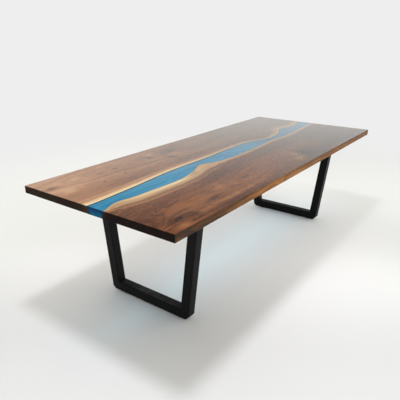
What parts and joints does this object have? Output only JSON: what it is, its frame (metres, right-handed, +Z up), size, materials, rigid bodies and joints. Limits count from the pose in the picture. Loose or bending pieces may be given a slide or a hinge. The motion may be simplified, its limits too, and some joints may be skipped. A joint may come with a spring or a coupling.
{
  "type": "live edge dining table",
  "caption": "Long river dining table: walnut slabs with inward live edges, a blue resin river cast between them, and black trapezoid frames of square steel tube on levelling feet.",
  "frame": {"origin": "on the floor, under the middle of the table top", "axes": "+X along the length of the table, +Y across it to the left seen from the -X end, +Z up"},
  "size_m": [2.6, 1.07, 0.755],
  "materials": {
    "walnut": "satin oil",
    "blue_resin": "polished translucent epoxy",
    "black_steel": "satin black powder coat",
    "zinc_steel": "zinc plated",
    "brass": "plain turned",
    "foot_plastic": "moulded black nylon"
  },
  "bodies": {
    "table": {"left_slab": "walnut", "right_slab": "walnut", "resin_river": "blue_resin", "near_left_leg": "black_steel", "near_right_leg": "black_steel", "near_floor_rail": "black_steel", "near_corner_caps": "black_steel", "near_mounting_plate": "black_steel", "near_plate_bolts": "zinc_steel", "near_plate_washers": "zinc_steel", "near_thread_inserts": "brass", "near_rivet_nuts": "zinc_steel", "far_left_leg": "black_steel", "far_right_leg": "black_steel", "far_floor_rail": "black_steel", "far_corner_caps": "black_steel", "far_mounting_plate": "black_steel", "far_plate_bolts": "zinc_steel", "far_plate_washers": "zinc_steel", "far_thread_inserts": "brass", "far_rivet_nuts": "zinc_steel"},
    "near_left_foot_base": {"near_left_foot_pad": "foot_plastic"},
    "near_left_foot_screw": {"near_left_foot_stem": "zinc_steel"},
    "near_right_foot_base": {"near_right_foot_pad": "foot_plastic"},
    "near_right_foot_screw": {"near_right_foot_stem": "zinc_steel"},
    "far_left_foot_base": {"far_left_foot_pad": "foot_plastic"},
    "far_left_foot_screw": {"far_left_foot_stem": "zinc_steel"},
    "far_right_foot_base": {"far_right_foot_pad": "foot_plastic"},
    "far_right_foot_screw": {"far_right_foot_stem": "zinc_steel"}
  },
  "joints": [
    {"name": "near_left_foot_travel", "type": "slide", "parent": "table", "child": "near_left_foot_base", "axis": [0, 0, -1], "range_m": [0, 0.009]},
    {"name": "near_left_foot_turn", "type": "hinge", "parent": "near_left_foot_base", "child": "near_left_foot_screw", "pos_m": [-0.898, 0.2225, 0.0035], "axis": [0, 0, -1], "range_deg": [0, 2160]},
    {"name": "near_right_foot_travel", "type": "slide", "parent": "table", "child": "near_right_foot_base", "axis": [0, 0, -1], "range_m": [0, 0.009]},
    {"name": "near_right_foot_turn", "type": "hinge", "parent": "near_right_foot_base", "child": "near_right_foot_screw", "pos_m": [-0.898, -0.2225, 0.0035], "axis": [0, 0, -1], "range_deg": [0, 2160]},
    {"name": "far_left_foot_travel", "type": "slide", "parent": "table", "child": "far_left_foot_base", "axis": [0, 0, -1], "range_m": [0, 0.009]},
    {"name": "far_left_foot_turn", "type": "hinge", "parent": "far_left_foot_base", "child": "far_left_foot_screw", "pos_m": [0.898, 0.2225, 0.0035], "axis": [0, 0, -1], "range_deg": [0, 2160]},
    {"name": "far_right_foot_travel", "type": "slide", "parent": "table", "child": "far_right_foot_base", "axis": [0, 0, -1], "range_m": [0, 0.009]},
    {"name": "far_right_foot_turn", "type": "hinge", "parent": "far_right_foot_base", "child": "far_right_foot_screw", "pos_m": [0.898, -0.2225, 0.0035], "axis": [0, 0, -1], "range_deg": [0, 2160]}
  ],
  "couplings": [
    {"joint": "near_left_foot_turn", "follows": "near_left_foot_travel", "rad_per_m": 4188.8},
    {"joint": "near_right_foot_turn", "follows": "near_right_foot_travel", "rad_per_m": 4188.8},
    {"joint": "far_left_foot_turn", "follows": "far_left_foot_travel", "rad_per_m": 4188.8},
    {"joint": "far_right_foot_turn", "follows": "far_right_foot_travel", "rad_per_m": 4188.8}
  ]
}
